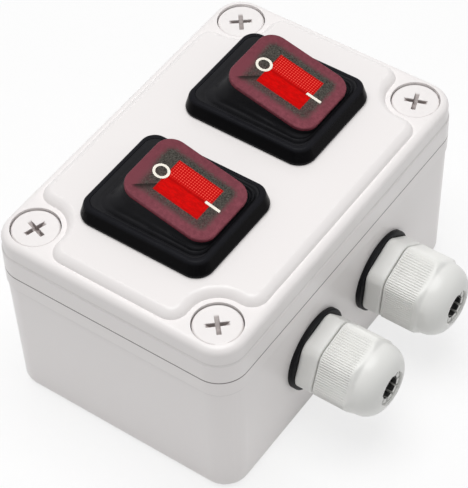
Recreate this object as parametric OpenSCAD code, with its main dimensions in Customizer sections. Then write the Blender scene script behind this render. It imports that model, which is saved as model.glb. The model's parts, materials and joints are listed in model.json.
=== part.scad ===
// Two-gang rocker switch box with two cable glands, in millimetres.
// The origin is the centre of the base's underside, +Z points up, +X runs along the
// box's long side and the cable glands face -Y.

/* [Box] */
// Length of the box along X
box_l = 100; // [94:1:130]
// Width of the box along Y
box_w = 68; // [64:1:90]
// Height of the base up to the parting line
base_h = 42.5; // [38:0.5:60]
// Height of the lid's side, from the parting line to the ledge
lid_h = 11; // [9:0.5:15]
// Height of the raised panel above the ledge
panel_h = 2; // [1:0.25:3]
// Radius of the box's upright corners
corner_r = 7.5; // [6:0.5:8]
// Thickness of the walls at the rim
wall = 3; // [2.8:0.1:3.4]
// Thickness of the floor
floor_t = 2.5; // [2:0.25:4]
// Thickness of the raised panel
panel_t = 2.5; // [2:0.25:3]

/* [Lid screws] */
// Distance of the lid screws from the box's sides
screw_inset = 8.2; // [7.8:0.1:9]
// Diameter of a lid screw's head
head_d = 11.7; // [10:0.1:12.2]
// Height of a lid screw's head
head_h = 3.4; // [2.5:0.1:4]
// Diameter of a lid screw's shank
shank_d = 4.8; // [4:0.1:5.2]
// Length of a lid screw's shank
shank_l = 21; // [16:1:30]

/* [Wall fixing] */
// Spacing of the fixing holes in the floor along X
fixing_x = 80; // [60:1:82]
// Spacing of the fixing holes in the floor along Y
fixing_y = 32; // [24:1:34]
// Diameter of a fixing hole
fixing_d = 4.2; // [3.5:0.1:5]

/* [Switches] */
// Spacing of the two switches along X
switch_pitch = 41.6; // [38:0.2:42]
// Distance of the switches behind the box's middle
switch_y = 0.8; // [0:0.2:1.6]
// Length of the bezel along Y
bezel_l = 36.6; // [35.6:0.2:38]
// Width of the bezel along X
bezel_w = 30.6; // [29.6:0.2:31]
// Height of the bezel above the panel
bezel_h = 4.4; // [4:0.1:4.8]
// Length of the panel cutout along Y
cutout_l = 30.2; // [30:0.1:31]
// Width of the panel cutout along X
cutout_w = 22.2; // [22:0.1:23]
// Depth of the switch body below the panel
body_depth = 21; // [18:0.5:26]
// Length of the rocker's cap along Y
cap_l = 25; // [22:0.5:25.4]
// Width of the rocker's cap along X
cap_w = 20; // [18.4:0.2:21]
// Thickness of the rocker's cap
cap_t = 1; // [0.8:0.1:1.6]
// Angle of the rocker to each side of the middle
rock_angle = 14; // [12:0.5:14]
// Width of the terminal tabs
tab_w = 6.3; // [4.8:0.1:6.5]
// Length of the terminal tabs below the body
tab_l = 9; // [7:0.5:12]

/* [Cable glands] */
// Spacing of the two cable glands along X
gland_pitch = 29.5; // [26:0.5:36]
// Height of the glands' axis above the base's underside
gland_z = 21.5; // [15:0.5:24]
// Outer diameter of the gland's thread
thread_d = 15.2; // [14.8:0.1:15.6]
// Width of the gland's hexagon across its flats
hex_af = 19; // [18.4:0.1:20]
// Thickness of the gland's hexagonal flange
flange_t = 4.8; // [4:0.2:6]
// Length of the dome nut
nut_l = 15.8; // [15:0.1:16.8]
// Pitch of the dome nut's thread
nut_pitch = 1.41; // [1.2:0.01:1.6]
// Diameter of the cable that the gland's seal fits
cable_d = 5.4; // [4.8:0.1:5.6]

/* [Hidden] */
$fn = 64;
// Overrun of a cut past the face that it opens
cut = 1;
// Clearance between pieces that are assembled together
fit_gap = 0.1;
// Clearance of a pin in its hole
run_gap = 0.05;
left = -1;
right = 1;

// Box: lean of its sides, bands, edges and the seal between base and lid
foot_step = 0.7;
band_step = 0.3;
base_band_h = 4.8;
lid_band_h = 6;
foot_fillet = 2.2;
lid_fillet = 2;
panel_inset = 2.5;
panel_run = 2;
panel_turn = 24;
panel_root = 0.5;
panel_soft = 4.2;
panel_notch = 7.3;
post_r = 5.4;
post_soft = 3;
lid_ceiling = 2.4;
panel_rim = 3.2;
groove_in = 0.3;
groove_w = 1.5;
groove_depth = 2.2;
gasket_h = 1.2;
tongue_w = 1;
tongue_h = groove_depth - gasket_h - fit_gap;
ledge_z = base_h + lid_h;
panel_z = ledge_z + panel_h;
corner_x = box_l / 2 - corner_r;
corner_y = box_w / 2 - corner_r;
screw_x = box_l / 2 - screw_inset;
screw_y = box_w / 2 - screw_inset;

// Lid screws
head_sink = 0.4;
head_gap = 0.25;
shank_gap = 0.3;
recess_l = 6;
recess_low_share = 0.45;
recess_w = 1.15;
recess_depth = 1.8;
head_edge = 0.35;
screw_bore_l = shank_l + head_h + head_sink - lid_h + cut;
// Turn of each screw's cross, in the order -X-Y, +X-Y, -X+Y, +X+Y
screw_turns = [42, 20, 72, 38];

// Switch housing and what it carries, measured from the panel's top face
seal_t = 0.8;
body_gap = 0.16;
bezel_r = 4.6;
bezel_fillet = 0.9;
bezel_lean = 16;
body_l = cutout_l - 2 * body_gap;
body_w = cutout_w - 2 * body_gap;
body_r = 1;
body_wall = 1.4;
body_floor = 2;
tub_l = body_l - 2 * body_wall;
tub_w = body_w - 2 * body_wall;
bezel_rim = 2.2;
foot_l = bezel_l - 2 * bezel_rim;
foot_w = bezel_w - 2 * bezel_rim;
foot_r = 3;
dish_depth = 1.4;
foot_z = bezel_h - dish_depth;
mouth_out = 0.7;
mouth_z = 1.2;
foot_t = 1.2;
wing_w = 5;
wing_x = 5;
wing_out = 0.9;
wing_h = 5;
wing_gap = 0.2;
barrier_t = 1.2;
barrier_h = 6;
pivot_depth = 5;
pivot_r = 1.5;
pivot_l = 1.2;
seal_rim = 0.15;

// Rocker, measured from its pivot with the rocker level
cap_rise = 14.8;
cap_r = 4.5;
cap_fillet = 0.35;
frame_rim = 1.3;
frame_l = cap_l - 2 * frame_rim;
frame_w = cap_w - 2 * frame_rim;
frame_r = cap_r - frame_rim;
frame_top = cap_rise - cap_t;
frame_low = 2.2;
lamp_room_l = 17;
lamp_room_w = 13;
lamp_floor = 4;
window_l = 12.6;
window_w = 10.5;
window_y = -0.5;
plate_t = 1;
boot_in = 0.4;
collar_h = 1.4;
collar_in = 0.2;
mark_t = 0.4;
ring_y = 7.1;
ring_r = 2.08;
ring_w = 0.66;
bar_y = -7.5;
bar_l = 4.1;
bar_w = 0.74;
lamp_r = 2.4;
lamp_l = 9;
lamp_x = -1.5;
lead_cap_l = 1.5;
resistor_r = 1.2;
resistor_l = 6;
resistor_x = 4;

// Plungers, blades and terminals
pole_x = 5;
leg_w = 4.6;
leg_l = 5.6;
leg_show = 2.7;
plunger_r = 1.3;
plunger_l = 5.2;
spring_wire = 0.4;
bore_top = 1.6;
blade_t = 0.8;
blade_w = 4.4;
blade_reach = 8.6;
blade_bend_r = 1;
blade_rise = 14;
blade_swing = 6;
blade_gap = 0.1;
rivet_r = 1.4;
rivet_t = 0.7;
rivet_at = 7.3;
blade_room = 2.45;
tab_t = 0.8;
tab_hole_r = 0.9;
slot_gap = 0.1;
cradle_l = 2.6;
cradle_drop = 0.95;
load_y = 10;
load_inner = 6;
load_outer = 10.6;
floor_z = body_floor - body_depth;
blade_z = floor_z + blade_room;
// Distance from the pivot to the plunger's tip, just clear of the blade's arms
plunger_tip = -pivot_depth - blade_z + plunger_r
    - (plunger_r + blade_bend_r - blade_t + blade_gap) / cos(blade_rise)
    + blade_bend_r - blade_t - 2 * blade_gap;
leg_low = plunger_tip - leg_show;
blade_on = blade_rise - blade_swing;
fixed_top = blade_z + (rivet_at - rivet_r) * sin(blade_on)
    - (blade_bend_r + rivet_t) * cos(blade_on) - blade_gap;

// Glands, measured outwards from the flange's back face
washer_t = 1.4;
washer_r = 10.8;
hex_round = 0.9;
hex_r = hex_af / 2 + hex_round;
flange_y = box_w / 2 - wall_inset(gland_z) + washer_t;
gland_hole_gap = 0.1;
thread_in_l = 9;
cable_bore_r = 4.5;
spigot_r = 7.4;
spigot_l = 7.7;
guide_r = 5.95;
guide_z = 3;
claw_r = guide_r - run_gap;
claw_low = 5.4;
claw_neck = 13;
claw_tip = 20.2;
claw_t = 1.15;
claw_tip_r = 4.25;
claw_tip_in = 2.85;
claw_slot = 0.55;
claw_slots = 10;
claw_slot_low = 9.5;
cone_gap = 0.2;
seal_low = 6;
seal_top = 18.4;
seam = 0.3;
nut_low = flange_t + seam;
nut_end = nut_low + nut_l;
nut_thread_gap = 0.1;
nut_neck = claw_neck - run_gap;
nut_neck_r = claw_r + cone_gap;
nut_mouth_r = claw_tip_r + cone_gap;
nut_body_l = 8;
dome_r = 5.5;
dome_out = 9.45;
lock_af = 18;
lock_t = 5;
lock_gap = 0.1;
lock_round = 0.7;
// Turn of the hexagons of the two glands
hex_turns = [9, 21];

// Distance that the base's side lies inside the rim, at a height below the band
function wall_inset(z) = band_step
    + foot_step * (base_h - base_band_h - z) / (base_h - base_band_h - foot_fillet);

box_white = "#efedec";
gland_white = "#dcdedb";
black_plastic = "#17181a";
black_rubber = "#1f2022";
lens_red = "#a01822";
mark_cream = "#f4efdf";
brass = "#b89150";
steel = "#a9abae";

// Copies of a shape at the four corners of a rectangle
module at_corners(dx, dy) {
    for (sx = [-1, 1], sy = [-1, 1])
        translate([sx * dx, sy * dy, 0]) children();
}

// Outline of a rectangle with round corners, from its half sizes
module rounded(hx, hy, r) {
    square([2 * hx, 2 * (hy - r)], center = true);
    square([2 * (hx - r), 2 * hy], center = true);
    at_corners(hx - r, hy - r) circle(r);
}

module rounded_slab(hx, hy, r, h) {
    linear_extrude(h) rounded(hx, hy, r);
}

// Block with round upright corners whose side follows a profile. The profile's X is the
// distance from a corner's axis, its Y is the height from z0 to z1.
module profiled_block(cx, cy, z0, z1) {
    at_corners(cx, cy) rotate_extrude() children();
    rotate([90, 0, 0]) linear_extrude(2 * cy, center = true) {
        translate([-cx, z0]) square([2 * cx, z1 - z0]);
        translate([cx, 0]) children();
        mirror([1, 0]) translate([cx, 0]) children();
    }
    rotate([90, 0, 90]) linear_extrude(2 * cx, center = true) {
        translate([cy, 0]) children();
        mirror([1, 0]) translate([cy, 0]) children();
    }
}

// Block like profiled_block whose sides turn in round the four lid screws. The side rolls
// over by run from its foot to its top, on an arc that spans twice the angle turn.
module notched_block(inset, notch, soft, z0, z1, run, turn) {
    side_x = box_l / 2 - inset - soft;
    side_y = box_w / 2 - inset - soft;
    low = z0 - panel_root;
    arc_r = norm([run, z1 - z0]) / (2 * sin(turn));
    top_angle = atan((z1 - z0) / run) - turn;
    arc_in = run + arc_r * sin(top_angle);
    arc_z = z1 - arc_r * cos(top_angle);
    profiled_block(side_x, screw_y - notch - soft, low, z1)
        rolled_profile(soft, low, z1, arc_r, arc_in, arc_z);
    profiled_block(screw_x - notch - soft, side_y, low, z1)
        rolled_profile(soft, low, z1, arc_r, arc_in, arc_z);
    difference() {
        translate([-screw_x, -screw_y, low]) cube([2 * screw_x, 2 * screw_y, z1 - low]);
        at_corners(screw_x, screw_y) rotate_extrude() difference() {
            translate([0, low - panel_root]) square([notch + run, z1 - low + 2 * panel_root]);
            translate([notch + arc_in, arc_z]) circle(arc_r);
        }
    }
}

module rolled_profile(r, z0, z1, arc_r, arc_in, arc_z) {
    intersection() {
        translate([0, z0]) square([r + arc_r, z1 - z0]);
        translate([r - arc_in, arc_z]) circle(arc_r);
    }
}

// Outline parallel to the box's sides that turns in round the four lid screws
module notched(inset, notch, soft) {
    rounded(box_l / 2 - inset, screw_y - notch, soft);
    rounded(screw_x - notch, box_w / 2 - inset, soft);
    difference() {
        square([2 * screw_x, 2 * screw_y], center = true);
        at_corners(screw_x, screw_y) circle(notch);
    }
}

// Outline of the seal's path: out is the distance outwards from the cavity's wall
module seal_path(out) {
    notched(wall - out, post_r - out, post_soft + out);
}

module seal_ring(near, far, h) {
    linear_extrude(h) difference() {
        seal_path(far);
        seal_path(near);
    }
}

module base_profile() {
    foot_r_out = corner_r - band_step - foot_step;
    translate([foot_r_out - foot_fillet, foot_fillet]) circle(foot_fillet);
    polygon([
        [0, 0], [foot_r_out - foot_fillet, 0], [foot_r_out, foot_fillet],
        [corner_r - band_step, base_h - base_band_h], [corner_r, base_h - base_band_h + band_step],
        [corner_r, base_h], [0, base_h]
    ]);
}

module lid_profile() {
    side_r = corner_r - band_step;
    translate([side_r - lid_fillet, ledge_z - lid_fillet]) circle(lid_fillet);
    polygon([
        [0, base_h], [corner_r, base_h], [corner_r, base_h + lid_band_h - band_step],
        [side_r, base_h + lid_band_h], [side_r, ledge_z - lid_fillet],
        [side_r - lid_fillet, ledge_z], [0, ledge_z]
    ]);
}

module base_outside() {
    profiled_block(corner_x, corner_y, 0, base_h) base_profile();
}

module enclosure_base() {
    color(box_white) {
        difference() {
            base_outside();
            translate([0, 0, floor_t]) linear_extrude(base_h) seal_path(0);
            at_corners(screw_x, screw_y) translate([0, 0, base_h - screw_bore_l])
                cylinder(h = screw_bore_l + cut, d = shank_d + 2 * fit_gap);
            at_corners(fixing_x / 2, fixing_y / 2) translate([0, 0, -cut])
                cylinder(h = floor_t + 2 * cut, d = fixing_d);
            for (side = [left, right]) at_gland(side)
                translate([0, 0, -flange_y]) cylinder(h = flange_y, d = thread_d + 2 * gland_hole_gap);
        }
        translate([0, 0, base_h]) seal_ring(
            groove_in + (groove_w - tongue_w) / 2, groove_in + (groove_w + tongue_w) / 2, tongue_h);
    }
}

module enclosure_lid() {
    color(box_white) difference() {
        union() {
            profiled_block(corner_x, corner_y, base_h, ledge_z) lid_profile();
            notched_block(panel_inset, panel_notch, panel_soft, ledge_z, panel_z, panel_run, panel_turn);
        }
        translate([0, 0, base_h - cut]) linear_extrude(lid_h - lid_ceiling + cut) seal_path(0);
        translate([0, 0, base_h]) linear_extrude(lid_h + panel_h - panel_t)
            notched(panel_inset + panel_rim, panel_notch + panel_rim - lid_ceiling / 2, post_soft);
        translate([0, 0, base_h - cut]) seal_ring(groove_in, groove_in + groove_w, groove_depth + cut);
        for (side = [left, right]) at_switch(side) translate([0, 0, -panel_t - cut])
            rounded_slab(cutout_w / 2, cutout_l / 2, body_r, panel_t + 2 * cut);
        at_corners(screw_x, screw_y) {
            translate([0, 0, base_h - cut]) cylinder(h = lid_h + 2 * cut, d = shank_d + 2 * shank_gap);
            translate([0, 0, ledge_z - head_sink - head_h])
                cylinder(h = head_sink + head_h + cut, d = head_d + 2 * head_gap);
        }
    }
}

module lid_gasket() {
    color(black_rubber) translate([0, 0, base_h + groove_depth - gasket_h])
        seal_ring(groove_in + fit_gap, groove_in + groove_w - fit_gap, gasket_h);
}

// Side view of one slot of a screw's cross, which narrows towards its bottom
module recess_side() {
    top = recess_l / 2;
    low = top * recess_low_share;
    polygon([[-top, 0], [-low, -recess_depth], [low, -recess_depth], [top, 0], [top, cut], [-top, cut]]);
}

module lid_screw(turn) {
    difference() {
        union() {
            translate([0, 0, -head_h]) cylinder(h = head_h - head_edge, d = head_d);
            translate([0, 0, -head_edge]) cylinder(h = head_edge, d1 = head_d, d2 = head_d - 2 * head_edge);
            translate([0, 0, -head_h - shank_l]) cylinder(h = shank_l, d = shank_d);
        }
        rotate(turn) for (a = [0, 90]) rotate([90, 0, a]) linear_extrude(recess_w, center = true)
            recess_side();
    }
}

module lid_screws() {
    places = [[-1, -1], [1, -1], [-1, 1], [1, 1]];
    color(box_white) for (i = [0 : 3])
        translate([places[i].x * screw_x, places[i].y * screw_y, ledge_z - head_sink])
            lid_screw(screw_turns[i]);
}

// Place of a switch, with its origin on the panel's top face
module at_switch(side) {
    translate([side * switch_pitch / 2, switch_y, panel_z]) children();
}

// Place of a rocker, with its origin on its pivot, pressed down at its ON end
module at_rocker(side) {
    at_switch(side) translate([0, 0, -pivot_depth]) rotate([rock_angle, 0, 0]) children();
}

module bezel_profile() {
    rim_t = bezel_h - seal_t;
    flank = (rim_t - bezel_fillet + bezel_fillet * sin(bezel_lean)) / cos(bezel_lean);
    flank_x = bezel_r - flank * sin(bezel_lean);
    round_x = flank_x - bezel_fillet * cos(bezel_lean);
    polygon([
        [0, 0], [bezel_r, 0], [flank_x, flank * cos(bezel_lean)], [round_x, rim_t], [0, rim_t]
    ]);
    translate([round_x, rim_t - bezel_fillet]) circle(bezel_fillet);
}

// Sprung wedge at the body's end that snaps under the panel
module snap_wing() {
    translate([0, body_l / 2, -panel_t - wing_gap]) rotate([90, 0, 90])
        linear_extrude(wing_w, center = true)
            polygon([[-body_wall / 2, 0], [wing_out, 0], [0, -wing_h], [-body_wall / 2, -wing_h]]);
}

module tab_slots() {
    for (x = [-pole_x, pole_x], y = [0, load_y])
        translate([x, y, -body_depth + body_floor / 2])
            cube([tab_w + 2 * slot_gap, tab_t + 2 * slot_gap, body_floor + cut], center = true);
}

module switch_housing(side) {
    color(black_plastic) at_switch(side) {
        difference() {
            union() {
                translate([0, 0, seal_t]) profiled_block(
                    bezel_w / 2 - bezel_r, bezel_l / 2 - bezel_r, 0, bezel_h - seal_t) bezel_profile();
                translate([0, 0, -body_depth])
                    rounded_slab(body_w / 2, body_l / 2, body_r, body_depth + bezel_h - bezel_fillet);
                for (x = [-wing_x, wing_x], m = [0, 1]) mirror([0, m]) translate([x, 0, 0]) snap_wing();
            }
            translate([0, 0, foot_z]) rounded_slab(foot_w / 2, foot_l / 2, foot_r, bezel_h);
            translate([0, 0, mouth_z])
                rounded_slab(tub_w / 2 + mouth_out, tub_l / 2 + mouth_out, body_r, bezel_h);
            translate([0, 0, floor_z]) rounded_slab(tub_w / 2, tub_l / 2, body_r, body_depth + bezel_h);
            translate([0, 0, -pivot_depth]) rotate([0, 90, 0])
                cylinder(h = body_w + cut, r = pivot_r + run_gap, center = true);
            tab_slots();
        }
        translate([-barrier_t / 2, -tub_l / 2, floor_z]) cube([barrier_t, tub_l, barrier_h]);
    }
}

module bezel_seal(side) {
    color(black_rubber) at_switch(side) linear_extrude(seal_t) difference() {
        rounded(bezel_w / 2 - seal_rim, bezel_l / 2 - seal_rim, bezel_r - seal_rim);
        rounded(cutout_w / 2 + fit_gap, cutout_l / 2 + fit_gap, body_r);
    }
}

// Boot from the bezel's ledge up to a collar under the cap
module rubber_boot(side) {
    color(black_rubber) difference() {
        hull() {
            at_switch(side) translate([0, 0, foot_z])
                rounded_slab(foot_w / 2 - fit_gap, foot_l / 2 - fit_gap, foot_r, foot_t, $fn = 32);
            at_rocker(side) translate([0, 0, frame_top - fit_gap - collar_h])
                rounded_slab(cap_w / 2 - collar_in, cap_l / 2 - collar_in, cap_r, collar_h, $fn = 32);
        }
        hull() {
            at_switch(side) translate([0, 0, foot_z - cut])
                rounded_slab(tub_w / 2 + boot_in, tub_l / 2 + boot_in, foot_r, cut, $fn = 32);
            at_rocker(side) translate([0, 0, frame_top])
                rounded_slab(frame_w / 2 + collar_in, frame_l / 2 + collar_in, frame_r, fit_gap, $fn = 32);
        }
    }
}

module rocker_frame(side) {
    bore_r = plunger_r + fit_gap;
    color(black_plastic) at_rocker(side) difference() {
        union() {
            translate([0, 0, -frame_low])
                rounded_slab(frame_w / 2, frame_l / 2, frame_r, frame_top + frame_low);
            rotate([0, 90, 0]) cylinder(h = tub_w + 2 * pivot_l, r = pivot_r, center = true);
            for (x = [-pole_x, pole_x]) translate([x, 0, -leg_low / 2])
                cube([leg_w, leg_l, leg_low], center = true);
        }
        translate([0, 0, lamp_floor])
            rounded_slab(lamp_room_w / 2, lamp_room_l / 2, frame_rim, frame_top - plate_t - lamp_floor);
        translate([0, window_y, frame_top - plate_t - cut])
            linear_extrude(plate_t + 2 * cut) square([window_w, window_l], center = true);
        for (x = [-pole_x, pole_x]) translate([x, 0, -leg_low - cut])
            cylinder(h = leg_low - bore_top + cut, r = bore_r);
    }
}

module cap_profile() {
    square([cap_r - cap_fillet, cap_t]);
    square([cap_r, cap_t - cap_fillet]);
    translate([cap_r - cap_fillet, cap_t - cap_fillet]) circle(cap_fillet);
}

module mark_shapes(gap) {
    translate([0, ring_y]) difference() {
        circle(ring_r + gap);
        circle(ring_r - ring_w - gap);
    }
    translate([0, bar_y]) square([bar_w + 2 * gap, bar_l + 2 * gap], center = true);
}

module rocker_lens(side) {
    color(lens_red) at_rocker(side) difference() {
        translate([0, 0, frame_top]) profiled_block(cap_w / 2 - cap_r, cap_l / 2 - cap_r, 0, cap_t)
            cap_profile();
        translate([0, 0, cap_rise - mark_t]) linear_extrude(mark_t + cut) mark_shapes(run_gap);
    }
}

// The O ring and the I bar, let in flush with the cap
module rocker_marks(side) {
    color(mark_cream) at_rocker(side) translate([0, 0, cap_rise - mark_t])
        linear_extrude(mark_t) mark_shapes(0);
}

module pilot_lamp(side) {
    color("#e8a090") at_rocker(side) translate([lamp_x, 0, lamp_floor + lamp_r]) rotate([90, 0, 0]) {
        cylinder(h = lamp_l - lamp_r, r = lamp_r, center = true);
        translate([0, 0, (lamp_l - lamp_r) / 2]) sphere(lamp_r);
        translate([0, 0, -lamp_l / 2]) cylinder(h = lead_cap_l, r = lamp_r / 2, center = true);
    }
}

module lamp_resistor(side) {
    color("#c8b48a") at_rocker(side) translate([resistor_x, 0, lamp_floor + resistor_r])
        rotate([90, 0, 0]) {
            cylinder(h = resistor_l, r = resistor_r, center = true);
            cylinder(h = resistor_l + 2 * lead_cap_l, r = resistor_r / 4, center = true);
        }
}

module plungers(side) {
    color(mark_cream) at_rocker(side) for (x = [-pole_x, pole_x])
        translate([x, 0, -plunger_tip + plunger_r]) {
            sphere(plunger_r);
            cylinder(h = plunger_l - plunger_r, r = plunger_r);
        }
}

module plunger_springs(side) {
    low = -plunger_tip + plunger_l;
    color(steel) at_rocker(side) for (x = [-pole_x, pole_x]) translate([x, 0, low]) difference() {
        cylinder(h = -bore_top - low, r = plunger_r);
        translate([0, 0, -cut]) cylinder(h = -bore_top - low + 2 * cut, r = plunger_r - spring_wire);
    }
}

// Side view of a blade: two arms that rise from a round bend
module blade_side() {
    intersection() {
        circle(blade_bend_r);
        translate([-blade_bend_r, -blade_bend_r]) square([2 * blade_bend_r, blade_t]);
    }
    for (m = [0, 1]) mirror([m, 0]) rotate(blade_rise) translate([0, -blade_bend_r])
        square([blade_reach, blade_t]);
}

module contact_blades(side) {
    color(brass) at_switch(side) for (x = [-pole_x, pole_x])
        translate([x, 0, blade_z]) rotate([-blade_swing, 0, 0]) {
            rotate([90, 0, 90]) linear_extrude(blade_w, center = true) blade_side();
            rotate([blade_rise, 0, 0]) translate([0, rivet_at, -blade_bend_r - rivet_t])
                cylinder(h = rivet_t + blade_t / 2, r = rivet_r);
        }
}

// Tab that hangs from the switch's floor, with its hole for a wire
module tab() {
    translate([0, 0, -body_depth - tab_l]) difference() {
        translate([-tab_w / 2, -tab_t / 2, 0]) cube([tab_w, tab_t, tab_l + body_floor]);
        translate([0, 0, tab_w / 2]) rotate([90, 0, 0])
            cylinder(h = tab_t + cut, r = tab_hole_r, center = true);
    }
}

module common_terminals(side) {
    cradle_top = blade_z - cradle_drop;
    color(brass) at_switch(side) for (x = [-pole_x, pole_x]) translate([x, 0, 0]) {
        tab();
        difference() {
            translate([-tab_w / 2, -cradle_l / 2, floor_z]) cube([tab_w, cradle_l, cradle_top - floor_z]);
            translate([0, 0, blade_z]) rotate([0, 90, 0])
                cylinder(h = tab_w + cut, r = blade_bend_r + run_gap, center = true);
        }
    }
}

module load_terminals(side) {
    color(brass) at_switch(side) for (x = [-pole_x, pole_x]) translate([x, 0, 0]) {
        translate([0, load_y, 0]) tab();
        translate([-blade_w / 2, load_inner, floor_z]) cube([blade_w, load_outer - load_inner, tab_t]);
        translate([0, rivet_at, floor_z]) cylinder(h = fixed_top - floor_z, r = rivet_r);
    }
}

// Place of a gland: its axis points out of the box and its origin is on the flange's back
module at_gland(side) {
    translate([side * gland_pitch / 2, -flange_y, gland_z]) rotate([90, 0, 0]) children();
}

function hex_turn(side) = side == left ? hex_turns[0] : hex_turns[1];

module round_hex(af, corner, h) {
    intersection() {
        cylinder(h = h, r = af / 2 / cos(30), $fn = 6);
        cylinder(h = h, r = af / 2 + corner);
    }
}

// Flat washer, squeezed against the leaning wall
module gland_washer(side) {
    color(black_rubber) difference() {
        at_gland(side) translate([0, 0, -2 * washer_t]) difference() {
            cylinder(h = 2 * washer_t, r = washer_r);
            translate([0, 0, -cut]) cylinder(h = 2 * washer_t + 2 * cut, d = thread_d + 2 * fit_gap);
        }
        base_outside();
    }
}

module gland_body(side) {
    color(gland_white) at_gland(side) difference() {
        union() {
            rotate(hex_turn(side)) round_hex(hex_af, hex_round, flange_t);
            translate([0, 0, -thread_in_l]) cylinder(h = thread_in_l, d = thread_d);
            cylinder(h = flange_t + spigot_l, r = spigot_r);
        }
        translate([0, 0, -thread_in_l - cut])
            cylinder(h = thread_in_l + flange_t + spigot_l + 2 * cut, r = cable_bore_r);
        translate([0, 0, guide_z]) cylinder(h = flange_t + spigot_l, r = guide_r);
    }
}

// Cage of fingers that the nut's cone closes round the seal
module clamping_claw(side) {
    color(gland_white) at_gland(side) difference() {
        union() {
            translate([0, 0, claw_low]) cylinder(h = claw_neck - claw_low, r = claw_r);
            translate([0, 0, claw_neck]) cylinder(h = claw_tip - claw_neck, r1 = claw_r, r2 = claw_tip_r);
        }
        translate([0, 0, claw_low - cut])
            cylinder(h = claw_neck - claw_low + cut, r = claw_r - claw_t);
        translate([0, 0, claw_neck])
            cylinder(h = claw_tip - claw_neck + fit_gap, r1 = claw_r - claw_t, r2 = claw_tip_in);
        for (i = [1 : claw_slots]) rotate(i * 360 / claw_slots)
            translate([0, -claw_slot / 2, claw_slot_low]) cube([claw_r + cut, claw_slot, claw_tip]);
    }
}

module cable_seal(side) {
    seal_r = claw_r - claw_t - run_gap;
    slope = (claw_r - claw_t - claw_tip_in) / (claw_tip - claw_neck);
    color(black_rubber) at_gland(side) difference() {
        union() {
            translate([0, 0, seal_low]) cylinder(h = claw_neck - seal_low, r = seal_r);
            translate([0, 0, claw_neck]) cylinder(
                h = seal_top - claw_neck, r1 = seal_r, r2 = seal_r - slope * (seal_top - claw_neck));
        }
        translate([0, 0, seal_low - cut]) cylinder(h = seal_top - seal_low + 2 * cut, d = cable_d);
    }
}

module nut_profile() {
    shoulder = nut_low + nut_body_l;
    intersection() {
        union() {
            translate([0, nut_low]) square([hex_r, nut_body_l]);
            polygon([
                [0, shoulder], [hex_r, shoulder], [dome_out, nut_end - dome_r],
                [dome_out - dome_r, nut_end], [0, nut_end]
            ]);
            translate([dome_out - dome_r, nut_end - dome_r]) circle(dome_r);
        }
        translate([0, nut_low]) square([hex_r, nut_l]);
    }
}

module gland_nut(side) {
    color(gland_white) at_gland(side) difference() {
        intersection() {
            rotate_extrude() nut_profile();
            rotate(hex_turn(side)) round_hex(hex_af, hex_round, nut_end);
        }
        translate([0, 0, nut_low - cut])
            cylinder(h = nut_neck - nut_low + cut, r = spigot_r + nut_thread_gap);
        translate([0, 0, nut_neck])
            cylinder(h = claw_tip - nut_neck, r1 = nut_neck_r, r2 = nut_mouth_r);
        cylinder(h = nut_end + cut, r = nut_mouth_r);
    }
}

module lock_nut(side) {
    back = flange_y - box_w / 2 + wall;
    color(gland_white) at_gland(side) translate([0, 0, -back - lock_t]) difference() {
        round_hex(lock_af, lock_round, lock_t);
        translate([0, 0, -cut]) cylinder(h = lock_t + 2 * cut, d = thread_d + 2 * lock_gap);
    }
}

enclosure_base();
enclosure_lid();
lid_gasket();
lid_screws();
switch_housing(left);  // left_switch_housing
bezel_seal(left);  // left_bezel_seal
rubber_boot(left);  // left_rubber_boot
rocker_frame(left);  // left_rocker_frame
rocker_lens(left);  // left_rocker_lens
rocker_marks(left);  // left_rocker_marks
pilot_lamp(left);  // left_pilot_lamp
lamp_resistor(left);  // left_lamp_resistor
plungers(left);  // left_plungers
plunger_springs(left);  // left_plunger_springs
contact_blades(left);  // left_contact_blades
common_terminals(left);  // left_common_terminals
load_terminals(left);  // left_load_terminals
switch_housing(right);  // right_switch_housing
bezel_seal(right);  // right_bezel_seal
rubber_boot(right);  // right_rubber_boot
rocker_frame(right);  // right_rocker_frame
rocker_lens(right);  // right_rocker_lens
rocker_marks(right);  // right_rocker_marks
pilot_lamp(right);  // right_pilot_lamp
lamp_resistor(right);  // right_lamp_resistor
plungers(right);  // right_plungers
plunger_springs(right);  // right_plunger_springs
contact_blades(right);  // right_contact_blades
common_terminals(right);  // right_common_terminals
load_terminals(right);  // right_load_terminals
gland_washer(left);  // left_gland_washer
gland_body(left);  // left_gland_body
clamping_claw(left);  // left_clamping_claw
cable_seal(left);  // left_cable_seal
gland_nut(left);  // left_gland_nut
lock_nut(left);  // left_lock_nut
gland_washer(right);  // right_gland_washer
gland_body(right);  // right_gland_body
clamping_claw(right);  // right_clamping_claw
cable_seal(right);  // right_cable_seal
gland_nut(right);  // right_gland_nut
lock_nut(right);  // right_lock_nut
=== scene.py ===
"""Switch box with two lit rocker switches and two cable glands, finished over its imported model."""

import json
import math

import bmesh
import bpy
from mathutils import Matrix, Vector


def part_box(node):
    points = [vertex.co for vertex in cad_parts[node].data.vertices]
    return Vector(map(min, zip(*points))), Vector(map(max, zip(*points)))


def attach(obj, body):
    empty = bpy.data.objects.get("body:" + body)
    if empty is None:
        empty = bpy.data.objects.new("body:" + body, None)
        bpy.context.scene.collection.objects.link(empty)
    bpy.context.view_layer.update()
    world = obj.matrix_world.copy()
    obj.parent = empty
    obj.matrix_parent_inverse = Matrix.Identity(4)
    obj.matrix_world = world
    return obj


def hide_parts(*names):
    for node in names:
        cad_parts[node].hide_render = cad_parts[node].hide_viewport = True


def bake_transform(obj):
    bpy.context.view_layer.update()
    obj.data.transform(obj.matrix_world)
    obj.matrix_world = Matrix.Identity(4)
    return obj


bl_info = {
    "name": "Rocker switch box",
    "version": (1, 0, 0),
    "blender": (4, 5, 0),
    "location": "View3D > Sidebar > Switch box",
    "description": "Builds the visible pieces and finishes of a two-gang rocker switch box",
    "category": "Object",
}

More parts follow.
